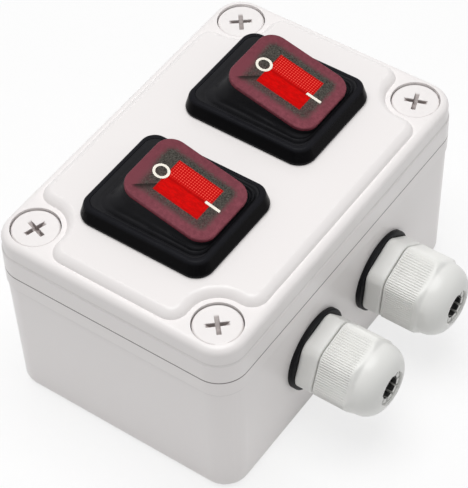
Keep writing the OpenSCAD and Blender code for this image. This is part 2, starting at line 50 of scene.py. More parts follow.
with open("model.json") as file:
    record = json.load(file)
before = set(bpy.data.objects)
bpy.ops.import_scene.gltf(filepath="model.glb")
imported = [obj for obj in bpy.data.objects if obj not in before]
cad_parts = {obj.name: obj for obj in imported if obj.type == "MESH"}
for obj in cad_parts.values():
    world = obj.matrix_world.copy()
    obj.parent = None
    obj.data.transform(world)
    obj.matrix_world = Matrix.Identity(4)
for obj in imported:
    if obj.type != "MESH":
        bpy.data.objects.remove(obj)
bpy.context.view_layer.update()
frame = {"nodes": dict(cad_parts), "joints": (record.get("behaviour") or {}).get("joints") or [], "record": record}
MM = 0.001
SIDES = ("left", "right")
WHITE = (1.0, 1.0, 1.0)


def joint_place(name):
    """Point on the axis of a joint, in metres"""
    for joint in frame["joints"]:
        if joint["name"] == name:
            return Vector(joint["pos_m"])
    raise ValueError("there is no joint " + name)


def mount_place(name):
    """Point of a mount, in metres"""
    for mount in frame["record"]["mounts"]:
        if mount["name"] == name:
            return Vector(mount["pos_m"])
    raise ValueError("there is no mount " + name)


# Box: millimetres from its middle and above its underside. A point up to WALL_SLACK inside a wall
# counts as on it
HALF_LENGTH = round(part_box("enclosure_lid")[1].x / MM, 3)
HALF_WIDTH = round(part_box("enclosure_lid")[1].y / MM, 3)
CORNER_ROUND = 7.5
WALL_SLACK = 0.5
LEDGE_Z = 53.5
PANEL_Z = round(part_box("enclosure_lid")[1].z / MM, 3)
PARTING_Z = round(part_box("enclosure_lid")[0].z / MM, 3)
LID_STEP_Z = PARTING_Z + 6.0
BASE_STEP_Z = PARTING_Z - 4.8

# Ranges that pick out the edges to round: the steps' heights, and the area of both cutouts
LID_STEP_RANGE = (47.0, 49.5)
BASE_STEP_RANGE = (37.0, 38.5)
CUTOUTS_X = (9.0, 33.0)
CUTOUTS_Y = (-16.0, 18.0)

# Lid screws: places, how deep their heads stand at most, and the reach of recesses and crosses
SCREW_X = 41.8
SCREW_Y = 25.8
HEAD_DEPTH = 0.4
RECESS_REACH = 6.2
CROSS_REACH = 3.6

# Caps: their tilt at rest, and from their middle the outline, lit window and side walls' top
ROCKER_TILT = math.radians(14)
CAP_CORE_X = 5.5
CAP_CORE_Y = 8.0
CAP_CORNER = 4.5
WINDOW_HALF_X = 5.25
WINDOW_HALF_Y = 6.33
WINDOW_SHIFT_Y = 0.57
GRID_PITCH = 0.64
CAP_WALL_TOP = 14.3
CAP_WALL_FULL = 13.6

# Glands: distances out of the box from the flange's back, and radii from the axis
FLANGE_Y = round(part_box("left_gland_washer")[0].y / MM, 3)
FLANGE_FRONT = 4.8
STUB_END = -9.0
STUB_RADIUS = 7.58
STUB_TIP_RADIUS = 7.2
CABLE_BORE = 4.5
THREAD_RADIUS = 7.38
THREAD_DEPTH = 0.55
THREAD_START = 5.0
THREAD_LENGTH = 7.3
BODY_END = 12.5
BODY_TIP_RADIUS = 7.1
SEAT_FLOOR = 3.0
SEAT_RADIUS = 5.97
NUT_BORE = 7.5
NUT_LIP = 8.4
NUT_SHELF = 12.9
NUT_CONE = 6.1
CLAW_TIP = 20.2
CLAW_TIP_INSIDE = 2.85
CLAW_SLOPE = 0.257
HEX_BLEND = 0.35
DOME_BLEND = 0.5
SHOULDER = 1.4
HEX_TURN = {"left": math.radians(9), "right": math.radians(21)}


def length(name, description, default, low=0.0):
    """Property for a length that is given in millimetres"""
    return bpy.props.FloatProperty(
        name=name, description=description, default=default * MM, min=low,
        subtype="DISTANCE", unit="LENGTH", precision=5)


def colour(name, description, default):
    """Property for a colour that is given in screen values from 0 to 255"""
    return bpy.props.FloatVectorProperty(
        name=name, description=description, default=tuple(linear(v) for v in default), size=3,
        min=0.0, max=1.0, subtype="COLOR")


def share(name, description, default):
    """Property for a share from 0 to 1"""
    return bpy.props.FloatProperty(
        name=name, description=description, default=default, min=0.0, max=1.0, subtype="FACTOR")


def linear(value):
    """Linear light of a screen value from 0 to 255"""
    v = value / 255
    return v / 12.92 if v <= 0.04045 else ((v + 0.055) / 1.055) ** 2.4


class BoxSizes(bpy.types.PropertyGroup):
    panel_round: length("Panel edge", "Rounding at the top of the raised panel's edge", 0.22)
    rim_round: length("Rim", "Rounding of the two rims at the parting line", 0.16)
    band_round: length("Bands", "Rounding of the small steps round the walls", 0.14)
    recess_round: length("Screw recess", "Rounding at the mouth of a screw recess", 0.12)
    slot_round: length("Screw cross", "Rounding at the edges of a screw's cross", 0.1)


class SwitchSizes(bpy.types.PropertyGroup):
    foot_length: length("Boot length", "Length of the boot's foot along Y", 32.1)
    foot_width: length("Boot width", "Width of the boot's foot along X", 26.1)
    collar_length: length("Collar length", "Length of the boot's collar under the cap", 24.9)
    collar_width: length("Collar width", "Width of the boot's collar under the cap", 19.9)
    collar_height: length("Collar height", "Height of the collar's top above the pivot", 13.78)
    rim_height: length("Rim height", "Height of the bezel's rim above the panel", 4.4)
    bezel_round: length("Bezel edge", "Rounding at the top of the bezel", 0.08)
    fold: length("Fold", "Height of the folds round the collar", 0.95)


class GlandSizes(bpy.types.PropertyGroup):
    across_flats: length("Across flats", "Width of the hexagons across their flats", 19.0)
    across_corners: length("Across corners", "Width over the hexagons' round corners", 20.8)
    nut_start: length("Nut start", "Distance of the nut's open end from the flange's back", 5.1)
    nut_end: length("Nut end", "Distance of the nut's dome from the flange's back", 20.9)
    rib_pitch: length("Rib pitch", "Distance from rib to rib on the nut", 0.6856)
    rib_depth: length("Rib depth", "Depth of the grooves between the nut's ribs", 0.3)
    rib_end: length("Rib end", "Distance of the ribs' end from the flange's back", 13.7)
    dome_radius: length("Dome radius", "Radius of the nut's dome at its shoulder", 9.42)
    dome_round: length("Dome rounding", "Rounding of the dome's end", 5.5)
    mouth_radius: length("Mouth radius", "Radius of the nut's mouth", 4.45)
    thread_pitch: length("Thread pitch", "Pitch of the thread that the nut runs on", 1.41)
    washer_round: length("Washer edge", "Rounding of the washer's outer edge", 0.3)


class Finishes(bpy.types.PropertyGroup):
    box_white: colour("Box", "Warm white of the box", (243, 239, 238))
    gland_grey: colour("Gland", "Pale grey of the glands", (232, 232, 229))
    black: colour("Black plastic", "Black of the bezels", (10, 10, 12))
    rubber: colour("Black rubber", "Black of the boots and seals", (16, 16, 19))
    lens_edge: colour("Lens edge", "Dull red of the cap's border", (131, 70, 80))
    lens_band: colour("Lens band", "Dark grey band inside the border", (76, 73, 68))
    lens_lit: colour("Lens window", "Bright red of the lit window", (214, 8, 6))
    marks: colour("Marks", "Cream of the ring and bar", (246, 241, 228))
    brass: colour("Contacts", "Yellow metal of the contacts", (196, 160, 98))


class StageSettings(bpy.types.PropertyGroup):
    camera_x: length("Camera X", "Place of the camera along X", -270.805, -10.0)
    camera_y: length("Camera Y", "Place of the camera along Y", -201.738, -10.0)
    camera_z: length("Camera Z", "Height of the camera", 412.111, -10.0)
    target_x: length("Target X", "Place that the camera looks at along X", -20.65, -10.0)
    target_y: length("Target Y", "Place that the camera looks at along Y", -15.53, -10.0)
    target_z: length("Target Z", "Height that the camera looks at", 53.5, -10.0)
    roll: bpy.props.FloatProperty(
        name="Roll", description="Turn of the camera about its own axis",
        default=math.radians(-2.403), subtype="ANGLE", unit="ROTATION")
    lens: bpy.props.FloatProperty(
        name="Lens", description="Focal length for a picture 36 mm wide", default=159.55,
        min=1.0, subtype="NONE")
    sky: share("Sky", "Brightness of the world's light", 0.27)
    floor: colour("Floor", "Colour of the floor", (250, 250, 250))


SETTINGS = {
    "switch_box_sizes": BoxSizes,
    "switch_box_switches": SwitchSizes,
    "switch_box_glands": GlandSizes,
    "switch_box_finishes": Finishes,
    "switch_box_stage": StageSettings,
}


class Socket:
    """Output of a shader node, or a number, on which sums can be written."""

    def __init__(self, nodes, value):
        self.nodes = nodes
        self.value = value

    def maths(self, operation, *others):
        inputs = dict(enumerate((self, *others)))
        return self.nodes.add("ShaderNodeMath", {"operation": operation}, inputs)

    def __add__(self, other):
        return self.maths("ADD", other)

    def __sub__(self, other):
        return self.maths("SUBTRACT", other)

    def __mul__(self, other):
        return self.maths("MULTIPLY", other)

    def __radd__(self, other):
        return self.maths("ADD", other)

    def __rsub__(self, other):
        return Socket(self.nodes, other).maths("SUBTRACT", self)

    def __rmul__(self, other):
        return self.maths("MULTIPLY", other)

    def __abs__(self):
        return self.maths("ABSOLUTE")

    def at_least(self, other):
        return self.maths("MAXIMUM", other)

    def at_most(self, other):
        return self.maths("MINIMUM", other)

    def root(self):
        return self.maths("SQRT")

    def sine(self):
        return self.maths("SINE")

    def ramp(self, low, high):
        """0 below low, 1 above high, and smooth between them; low may be the larger"""
        settings = {"interpolation_type": "SMOOTHSTEP", "clamp": True}
        return self.nodes.add(
            "ShaderNodeMapRange", settings,
            {"Value": self, "From Min": low, "From Max": high, "To Min": 0.0, "To Max": 1.0})


class Nodes:
    """A tree of shader nodes, of a material or of the world."""

    def __init__(self, tree):
        self.tree = tree

    def link(self, value, target):
        """Gives an input a value, or a link from another node"""
        if isinstance(value, Socket):
            value = value.value
        if isinstance(value, bpy.types.NodeSocket):
            self.tree.links.new(value, target)
        elif target.type == "RGBA":
            target.default_value = (*tuple(value)[:3], 1.0)
        else:
            target.default_value = value

    def add(self, kind, settings, inputs, output=0):
        """Socket of a new node of a kind, with its settings and its inputs' values or links"""
        node = self.tree.nodes.new(kind)
        for key, value in settings.items():
            setattr(node, key, value)
        for key, value in inputs.items():
            self.link(value, node.inputs[key])
        return Socket(self, node.outputs[output])

    def mix(self, share_of_second, first, second):
        """Colour between two colours"""
        return self.add(
            "ShaderNodeMix", {"data_type": "RGBA"}, {0: share_of_second, 6: first, 7: second}, 2)

    def mix_shaders(self, share_of_second, first, second):
        """Shader between two shaders"""
        return self.add("ShaderNodeMixShader", {}, {0: share_of_second, 1: first, 2: second})

    def millimetres(self, vector):
        """The X, Y and Z of a vector, in millimetres"""
        scaled = self.add(
            "ShaderNodeVectorMath", {"operation": "SCALE"}, {0: vector, "Scale": 1 / MM})
        split = self.tree.nodes.new("ShaderNodeSeparateXYZ")
        self.link(scaled, split.inputs[0])
        return [Socket(self, output) for output in split.outputs]

    def background_rays(self):
        """1 for the rays that see a white background, straight, mirrored or through glass"""
        path = self.tree.nodes.new("ShaderNodeLightPath")
        camera, glossy, through = (Socket(self, path.outputs[name]) for name in (
            "Is Camera Ray", "Is Glossy Ray", "Is Transmission Ray"))
        return camera.at_least(glossy).at_least(through)


class Paint(Nodes):
    """A material, and the nodes that paint it."""

    def __init__(self, name, roughness=0.5, specular=0.5):
        self.material = bpy.data.materials.new(name)
        self.material.use_nodes = True
        super().__init__(self.material.node_tree)
        self.shader = self.tree.nodes["Principled BSDF"]
        self.set("Roughness", roughness)
        self.set("Specular IOR Level", specular)
        self.place = self.add("ShaderNodeTexCoord", {}, {}, "Object")

    def set(self, name, value):
        """Gives one of the shader's own inputs a value or a link"""
        self.link(value, self.shader.inputs[name])

    def mapping(self, kind, vector, settings):
        """A vector moved, turned or stretched by a Mapping node"""
        return self.add("ShaderNodeMapping", {"vector_type": kind}, {"Vector": vector, **settings})

    def noise(self, size, detail=3.0, roughness=0.5, place=None):
        """Noise with features of about a size in millimetres"""
        return self.add(
            "ShaderNodeTexNoise", {"noise_dimensions": "3D"},
            {"Vector": place or self.place, "Scale": 1 / (size * MM), "Detail": detail,
             "Roughness": roughness}, "Fac")

    def bump(self, height, depth):
        """Surface relief of a depth in millimetres, from a height of 0 to 1"""
        self.set("Normal", self.add(
            "ShaderNodeBump", {}, {"Height": height, "Strength": 1.0, "Distance": depth * MM},
            "Normal"))


def shaded(base, factor):
    """A colour made darker or brighter, and never past white"""
    return tuple(min(1.0, c * factor) for c in base)


def moulded_plastic(name, base, roughness, grain, cloud, specular=0.5):
    """Injection-moulded plastic: faint clouds of tone, a fine grain and slight unevenness"""
    paint = Paint(name, specular=specular)
    clouds = paint.noise(14.0, 3.0)
    fine = paint.noise(0.35, 2.0)
    paint.set("Base Color", paint.mix(clouds, shaded(base, 1 - cloud), shaded(base, 1 + cloud)))
    paint.set("Roughness", paint.noise(5.0, 4.0) * 0.12 + (roughness - 0.06))
    paint.bump(fine, grain)
    return paint.material


def enclosure_plastic(name, base):
    """Glossy white plastic: faint clouds, a dark seam between the halves, shade at the steps"""
    paint = Paint(name, specular=0.4)
    clouds = paint.noise(22.0, 2.0)
    height = paint.millimetres(paint.place)[2]
    seam = abs(height - PARTING_Z).ramp(0.22, 0.12)
    steps = abs(height - LID_STEP_Z).at_most(abs(height - BASE_STEP_Z)).ramp(0.45, 0.1)
    steps = steps * (paint.noise(7.0, 3.0) * 0.5 + 0.5)
    tone = paint.mix(clouds, shaded(base, 0.995), shaded(base, 1.005))
    tone = paint.mix(steps * 0.6, tone, shaded(base, 0.72))
    paint.set("Base Color", paint.mix(seam * 0.85, tone, (0.1, 0.08, 0.075)))
    paint.set("Roughness", clouds * 0.03 + 0.27)
    return paint.material


def bezel_plastic(name, base):
    """Deep black plastic with faint scuffs, whose top above the walls is painted paler as a painted highlight"""
    paint = Paint(name, specular=0.03)
    height = paint.millimetres(paint.place)[2] - PANEL_Z
    # Painted highlight: the bezel's top, above its walls, is painted paler in soft patches
    painted_top_highlight = height.ramp(3.3, 4.3) * (paint.noise(4.0, 3.0) * 0.4 + 0.7)
    scuffs = paint.noise(1.2, 4.0, 0.7).ramp(0.45, 0.8)
    tone = paint.mix(scuffs * 0.4, base, shaded(base, 1.6))
    paint.set("Base Color", paint.mix(painted_top_highlight, tone, shaded(base, 4.5)))
    paint.set("Roughness", scuffs * 0.15 + 0.2)
    return paint.material


def claw_plastic(name, base, axis):
    """Plastic of the clamping claws, whose inner faces near the tips are painted near-black in patches"""
    paint = Paint(name, 0.4, 0.3)
    x, y, z = paint.millimetres(paint.place)
    aside = abs(x) - abs(axis.x / MM)
    above = z - axis.z / MM
    radius = (aside * aside + above * above).root()
    from_tip = y - (FLANGE_Y - CLAW_TIP)
    # The claws' inner faces, up to their tips, are painted near-black in patches
    inside = (radius - from_tip * CLAW_SLOPE).ramp(CLAW_TIP_INSIDE + 0.3, CLAW_TIP_INSIDE + 0.1)
    inner_dark_patches = paint.noise(0.8, 3.0) * 0.3 + 0.75
    paint.set("Base Color", paint.mix((inside * inner_dark_patches).at_most(1.0), base, (0.006, 0.006, 0.007)))
    return paint.material


def screw_plastic(name, base):
    """White plastic of the screws, whose crosses are painted darker the deeper they go, a painted shade"""
    paint = Paint(name, specular=0.4)
    depth = (LEDGE_Z - HEAD_DEPTH - 0.05) - paint.millimetres(paint.place)[2]
    # Painted shade: the crosses darken to grey-brown with depth below the heads' top
    cross_shade = depth.ramp(0.0, 0.5) * (paint.noise(0.7, 3.0) * 0.3 + 0.7)
    paint.set("Base Color", paint.mix(cross_shade * 0.85, base, (0.2, 0.15, 0.14)))
    paint.set("Roughness", paint.noise(3.0, 3.0) * 0.12 + 0.3)
    paint.bump(paint.noise(0.5, 2.0), 0.003)
    return paint.material


def matt_rubber(name, base, roughness):
    """Silicone rubber: matt, with a fine tooth and dust that greys it in clouds"""
    paint = Paint(name, specular=0.14)
    dust = paint.noise(2.6, 5.0, 0.6).ramp(0.42, 0.75)
    tooth = paint.noise(0.16, 3.0, 0.6)
    paint.set("Base Color", paint.mix(dust * 0.5, base, shaded(base, 1.9)))
    paint.set("Roughness", tooth * 0.16 + (roughness - 0.08))
    paint.bump(tooth, 0.02)
    return paint.material


def worn_metal(name, base, roughness):
    """Rolled strip or drawn wire: metal with fine lines and slight tarnish"""
    paint = Paint(name, roughness)
    paint.set("Metallic", 1.0)
    stretched = paint.mapping("POINT", paint.place, {"Scale": Vector((1.0, 1.0, 0.12))})
    lines = paint.noise(0.18, 4.0, 0.6, stretched)
    tarnish = paint.noise(2.2, 4.0).ramp(0.4, 0.7)
    paint.set("Base Color", paint.mix(tarnish * 0.6, base, shaded(base, 0.72)))
    paint.set("Roughness", lines * 0.25 + (roughness - 0.1))
    paint.bump(lines, 0.008)
    return paint.material


def clear_glass(name, base):
    """Lamp glass with a warm glow inside"""
    paint = Paint(name, 0.08)
    paint.set("Coat Weight", 0.6)
    paint.set("Coat Roughness", 0.05)
    glow = paint.noise(1.6, 2.0).ramp(0.3, 0.7)
    paint.set("Base Color", paint.mix(glow, base, shaded(base, 0.55)))
    return paint.material


def banded_resistor(name, base):
    """Lacquered body with plain colour bands round it"""
    paint = Paint(name, 0.35)
    along = paint.millimetres(paint.place)[1]
    wave = (along * 3.3).sine().ramp(0.55, 0.75)
    paint.set("Base Color", paint.mix(wave, base, (0.12, 0.02, 0.01)))
    paint.bump(paint.noise(0.3, 2.0), 0.02)
    return paint.material


def lens_border(paint, finishes, x, y, speckle, mottle):
    """Tone of a cap outside its window: dull red border, and a speckled dark band inside it"""
    edge_tone = finishes.lens_edge
    band_tone = finishes.lens_band
    corner_x = (abs(x) - CAP_CORE_X).at_least(0.0)
    corner_y = (abs(y) - CAP_CORE_Y).at_least(0.0)
    corner = (corner_x * corner_x + corner_y * corner_y).root()
    inner = (abs(x) - CAP_CORE_X).at_least(abs(y) - CAP_CORE_Y).at_most(0.0)
    from_edge = CAP_CORNER - (corner + inner)
    band = (from_edge + (speckle - 0.5) * 2.2 + (mottle - 0.5) * 1.0).ramp(1.9, 3.6)
    # The cap's end facet by the ring is painted paler, a painted light, and a painted shade line runs from its
    # corner to the ring
    crease = x + y - 2.4 + (speckle - 0.5) * 0.5
    end_facet_light = crease.ramp(0.0, 0.5) * x.ramp(2.5, -2.0) * from_edge.ramp(4.6, 2.4)
    crease_shade = crease.ramp(0.25, 0.0) * crease.ramp(-2.4, -0.1) * x.ramp(-1.6, -3.0)
    crease_shade = crease_shade * from_edge.ramp(1.2, 2.6) * y.ramp(2.6, 4.4) * 0.8
    grain = speckle.ramp(0.3, 0.72)
    far_side = (x * 0.6 + y * 0.8).ramp(-7.0, 9.0)
    edge = paint.mix(mottle.ramp(0.3, 0.7), shaded(edge_tone, 0.85), shaded(edge_tone, 1.15))
    edge = paint.mix(far_side * 0.4, edge, shaded(edge_tone, 0.62))
    edge = paint.mix(grain * 0.35, edge, shaded(edge_tone, 0.55))
    dark = paint.mix(grain, shaded(band_tone, 0.2), shaded(band_tone, 1.7))
    warm = x.ramp(2.0, -7.0) * mottle.ramp(0.25, 0.7)
    dark = paint.mix(warm * 0.45, dark, shaded(edge_tone, 0.7))
    tone = paint.mix(band, edge, dark)
    tone = paint.mix(end_facet_light * 0.85, tone, shaded(edge_tone, 0.85))
    return paint.mix(crease_shade, tone, shaded(band_tone, 0.16))


def lens_window(paint, finishes, local, from_rim, speckle):
    """Tone of a cap's lit window, and the fine grid in it: one half finely dotted, one brushed"""
    lit_tone = finishes.lens_lit
    x, y = paint.millimetres(local)[:2]
    grid_x = (x * (2 * math.pi / GRID_PITCH)).sine()
    grid_y = (y * (2 * math.pi / GRID_PITCH)).sine()
    grid = (grid_x * 0.5 + 0.5) * (grid_y * 0.5 + 0.5)
    grid = (grid + (speckle - 0.5) * 0.5).ramp(0.12, 0.85)
    brushed = paint.mapping("POINT", local, {"Scale": Vector((1.0, 0.3, 1.0))})
    strokes = paint.noise(0.5, 3.0, 0.6, brushed).ramp(0.3, 0.75)
    dotted_half = x.ramp(0.05, 0.35)
    rim = from_rim.ramp(0.9, 0.2)
    fine = grid * dotted_half.at_least(rim * 0.7)
    deep = paint.mix(strokes, shaded(lit_tone, 0.72), lit_tone)
    bright = paint.mix(fine, shaded(lit_tone, 0.75), (0.9, 0.085, 0.065))
    lit = paint.mix(dotted_half, deep, bright)
    middle_fold = abs(x + 0.25).ramp(0.65, 0.1)
    lit = paint.mix(middle_fold * 0.45, lit, shaded(lit_tone, 0.35))
    return paint.mix(rim * 0.3, lit, shaded(lit_tone, 0.5)), grid


def lit_lens(name, pivot, finishes):
    """See-through red cap over a lit grid: border, speckled dark band and bright window, with a faint painted glow
    """
    paint = Paint(name, specular=0.04)
    local = paint.mapping(
        "TEXTURE", paint.place, {"Location": pivot, "Rotation": Vector((ROCKER_TILT, 0, 0))})
    x, y, z = paint.millimetres(local)
    speckle = paint.noise(0.34, 4.0, 0.75)
    mottle = paint.noise(1.1, 3.0, 0.6)
    border = lens_border(paint, finishes, x, y, speckle, mottle)
    from_rim = (WINDOW_HALF_X - abs(x)).at_most(WINDOW_HALF_Y - abs(y + WINDOW_SHIFT_Y))
    window = (from_rim + (speckle - 0.5) * 0.5).ramp(-0.12, 0.16)
    lit, grid = lens_window(paint, finishes, local, from_rim, speckle)
    wall = z.ramp(CAP_WALL_TOP, CAP_WALL_FULL)
    tone = paint.mix(window, border, lit)
    paint.set("Base Color", paint.mix(wall, tone, (0.16, 0.006, 0.02)))
    # Painted glow: the window gives off a little of its own colour, though no lamp lights it from behind
    paint.set("Emission Color", paint.mix(window * (1 - wall), (0.0, 0.0, 0.0), lit))
    paint.set("Emission Strength", 0.1)
    paint.set("Roughness", speckle * 0.12 + 0.26)
    paint.bump(speckle * 0.5 + grid * window * 0.3, 0.015)
    return paint.material


def settings(name):
    """One of the scene's groups of sizes or finishes"""
    return getattr(bpy.context.scene, name)


def finish(name):
    """Material of a name, made when it is first asked for"""
    if name in bpy.data.materials:
        return bpy.data.materials[name]
    tones = settings("switch_box_finishes")
    recipes = {
        "box_abs": (enclosure_plastic, tones.box_white),
        "screw_abs": (screw_plastic, shaded(tones.box_white, 0.98)),
        "gland_nylon": (moulded_plastic, tones.gland_grey, 0.36, 0.004, 0.02, 0.4),
        "claw_nylon": (claw_plastic, tones.gland_grey, mount_place("left_cable_entry")),
        "bezel_nylon": (bezel_plastic, tones.black),
        "frame_nylon": (moulded_plastic, shaded(tones.black, 1.6), 0.45, 0.03, 0.1, 0.4),
        "boot_silicone": (matt_rubber, tones.rubber, 0.62),
        "seal_silicone": (matt_rubber, shaded(tones.rubber, 0.9), 0.5),
        "mark_paint": (moulded_plastic, tones.marks, 0.4, 0.01, 0.02, 0.4),
        "lamp_bulb": (clear_glass, (0.9, 0.42, 0.3)),
        "resistor_lacquer": (banded_resistor, (0.55, 0.42, 0.25)),
        "plunger_resin": (moulded_plastic, (0.82, 0.79, 0.68), 0.4, 0.01, 0.03),
        "spring_wire": (worn_metal, (0.5, 0.5, 0.52), 0.32),
        "contact_strip": (worn_metal, tones.brass, 0.3),
    }
    recipe, base, *values = recipes[name]
    return recipe(name, tuple(base), *values)


def publish(bm, name, material, body, replaced, sharp, weighted=True):
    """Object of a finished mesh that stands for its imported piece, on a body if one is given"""
    mesh = bpy.data.meshes.new(name)
    bm.to_mesh(mesh)
    bm.free()
    mesh.shade_smooth()
    mesh.set_sharp_from_angle(angle=math.radians(sharp))
    piece = bpy.data.objects.new(name, mesh)
    bpy.context.scene.collection.objects.link(piece)
    mesh.materials.append(material)
    if weighted:
        even = piece.modifiers.new("Even shading", "WEIGHTED_NORMAL")
        even.keep_sharp = True
        even.weight = 80
    if body:
        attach(piece, body)
    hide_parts(*replaced)
    return piece


def merged(node):
    """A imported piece's own mesh, its loose triangles merged and its flat areas made whole"""
    bm = bmesh.new()
    bm.from_mesh(frame["nodes"][node].data)
    bmesh.ops.remove_doubles(bm, verts=bm.verts, dist=0.0015 * MM)
    bmesh.ops.dissolve_degenerate(bm, edges=bm.edges, dist=0.0005 * MM)
    bmesh.ops.dissolve_limit(
        bm, angle_limit=math.radians(0.6), verts=bm.verts, edges=bm.edges, delimit=set())
    return bm


def sharp_edges(bm, test, angle=20.0):
    """Edges whose faces meet at more than an angle, and whose ends, in millimetres, pass a test"""
    found = []
    for edge in bm.edges:
        if len(edge.link_faces) == 2 and edge.calc_face_angle(0.0) > math.radians(angle):
            if all(test(vert.co / MM) for vert in edge.verts):
                found.append(edge)
    return found


def soften(bm, edges, width, segments=3):
    """Rounds edges over a width"""
    if edges:
        bmesh.ops.bevel(
            bm, geom=edges, offset=width, offset_type="OFFSET", segments=segments, profile=0.5,
            affect="EDGES", material=-1, clamp_overlap=True, loop_slide=True)


def near(value, target):
    """Whether two lengths in millimetres are the same, apart from rounding"""
    return abs(value - target) < 0.03


def within(value, limits):
    """Whether a value is between two limits"""
    return limits[0] < value < limits[1]


def on_outer_wall(point):
    """Whether a point is on the box's outer wall, round its corners too"""
    x, y = abs(point.x), abs(point.y)
    core_x, core_y = HALF_LENGTH - CORNER_ROUND, HALF_WIDTH - CORNER_ROUND
    at_corner = x > core_x - WALL_SLACK and y > core_y - WALL_SLACK
    from_core = math.hypot(x - core_x, y - core_y)
    return x > HALF_LENGTH - WALL_SLACK or y > HALF_WIDTH - WALL_SLACK or (
        at_corner and from_core > CORNER_ROUND - WALL_SLACK)


def at_cutouts(point):
    """Whether a point is in the area of the lid's two cutouts"""
    return within(abs(point.x), CUTOUTS_X) and within(point.y, CUTOUTS_Y)


def near_screw(point, reach):
    """Whether a point is within reach of a lid screw's axis"""
    return math.hypot(abs(point.x) - SCREW_X, abs(point.y) - SCREW_Y) < reach


class Ring:
    """A tube grown ring by ring, whose points keep the angles that they have at the start."""

    def __init__(self, sides, cuts=0, turn=0.0):
        self.bm = bmesh.new()
        bmesh.ops.create_circle(self.bm, cap_ends=False, segments=sides, radius=1.0)
        if cuts:
            bmesh.ops.subdivide_edges(self.bm, edges=self.bm.edges[:], cuts=cuts)
        self.bm.transform(Matrix.Rotation(turn, 4, "Z"))
        self.angle = self.bm.verts.layers.float.new("angle")
        for vert in self.bm.verts:
            vert[self.angle] = math.atan2(vert.co.y, vert.co.x)

    def loft(self, shapes):
        """Makes one ring for each shape, which gives a point's place from its angle"""
        first = last = self.bm.edges[:]
        for shape in shapes:
            if shape is not shapes[0]:
                grown = bmesh.ops.extrude_edge_only(self.bm, edges=last)
                last = [part for part in grown["geom"] if isinstance(part, bmesh.types.BMEdge)]
            for vert in {vert for edge in last for vert in edge.verts}:
                vert.co = shape(vert[self.angle])
        bmesh.ops.bridge_loops(self.bm, edges=first + last)
        bmesh.ops.recalc_face_normals(self.bm, faces=self.bm.faces)


def polar(angle, radius, height):
    """Point at an angle and radius round +Z, at a height"""
    return Vector((radius * math.cos(angle), radius * math.sin(angle), height))


def circle(height, radius):
    """Shape of a round ring at a height"""
    return lambda angle: polar(angle, radius, height)


def soft_least(first, second, blend):
    """The smaller of two lengths, rounded where they meet"""
    share_of_blend = max(blend - abs(first - second), 0.0) / blend
    return min(first, second) - share_of_blend * share_of_blend * blend / 4


def hexagon(angle, turn, flats, corners):
    """Radius of a hexagon with round corners, and the place along its flat, at an angle"""
    step = math.radians(60)
    from_flat = (angle - turn) % step - step / 2
    radius = flats / 2 / math.cos(from_flat)
    return soft_least(radius, corners / 2, HEX_BLEND), flats / 2 * math.tan(from_flat)


def gland_frame(side):
    """Places a gland that is made in millimetres, with +Z out of the box from the flange's back"""
    axis = mount_place(side + "_cable_entry")
    place = Matrix.Translation((axis.x, FLANGE_Y * MM, axis.z))
    return place @ Matrix.Rotation(math.pi / 2, 4, "X") @ Matrix.Scale(MM, 4)


def soft_step(value):
    """0 below 0, 1 above 1, and smooth between them"""
    v = min(max(value, 0.0), 1.0)
    return v * v * (3 - 2 * v)


def outline_point(angle, outline, inset):
    """Point of a rectangle with round corners, moved in by inset, for an angle of the unit ring.
    Each corner takes half of the angle, so the points gather where the outline turns."""
    half_x, half_y, radius = outline
    radius = max(radius - inset, 0.6 * MM)
    core_x = half_x - inset - radius
    core_y = half_y - inset - radius
    centres = [Vector((core_x * x, core_y * y)) for x, y in ((1, -1), (1, 1), (-1, 1), (-1, -1))]
    quarter = math.pi / 2
    turn = (angle + quarter / 4) % (2 * math.pi)
    corner = int(turn // quarter)
    along = (turn - corner * quarter) / quarter
    # The first half of each quarter runs along a side, the second half round a corner
    centre = centres[corner].lerp(centres[(corner + 1) % 4], min(along * 2, 1.0))
    facing = (corner + max(along * 2 - 1, 0.0)) * quarter
    return centre + Vector((math.cos(facing), math.sin(facing))) * radius


class SWITCHBOX_OT_base(bpy.types.Operator):
    """Moulded base with its parting rim and the faint step below it"""
    bl_idname = "switch_box.base"
    bl_label = "Base"

    def execute(self, context):
        sizes = settings("switch_box_sizes")
        bm = merged("enclosure_base")
        rim = sharp_edges(bm, lambda p: near(p.z, PARTING_Z) and on_outer_wall(p))
        soften(bm, rim, sizes.rim_round)
        step = sharp_edges(bm, lambda p: within(p.z, BASE_STEP_RANGE) and on_outer_wall(p))
        soften(bm, step, sizes.band_round, 2)
        publish(bm, "base", finish("box_abs"), "box", ["enclosure_base"], 30)
        return {"FINISHED"}


class SWITCHBOX_OT_lid(bpy.types.Operator):
    """Moulded lid with its raised panel, soft panel edge and screw recesses"""
    bl_idname = "switch_box.lid"
    bl_label = "Lid"

    def execute(self, context):
        sizes = settings("switch_box_sizes")
        bm = merged("enclosure_lid")
        rim = sharp_edges(bm, lambda p: near(p.z, PARTING_Z) and on_outer_wall(p))
        soften(bm, rim, sizes.rim_round)
        step = sharp_edges(bm, lambda p: within(p.z, LID_STEP_RANGE) and on_outer_wall(p))
        soften(bm, step, sizes.band_round, 2)
        recesses = sharp_edges(bm, lambda p: near(p.z, LEDGE_Z) and near_screw(p, RECESS_REACH))
        soften(bm, recesses, sizes.recess_round)
        panel = sharp_edges(bm, lambda p: near(p.z, PANEL_Z) and not at_cutouts(p), 8)
        soften(bm, panel, sizes.panel_round, 2)
        publish(bm, "lid", finish("box_abs"), "box", ["enclosure_lid"], 30)
        return {"FINISHED"}


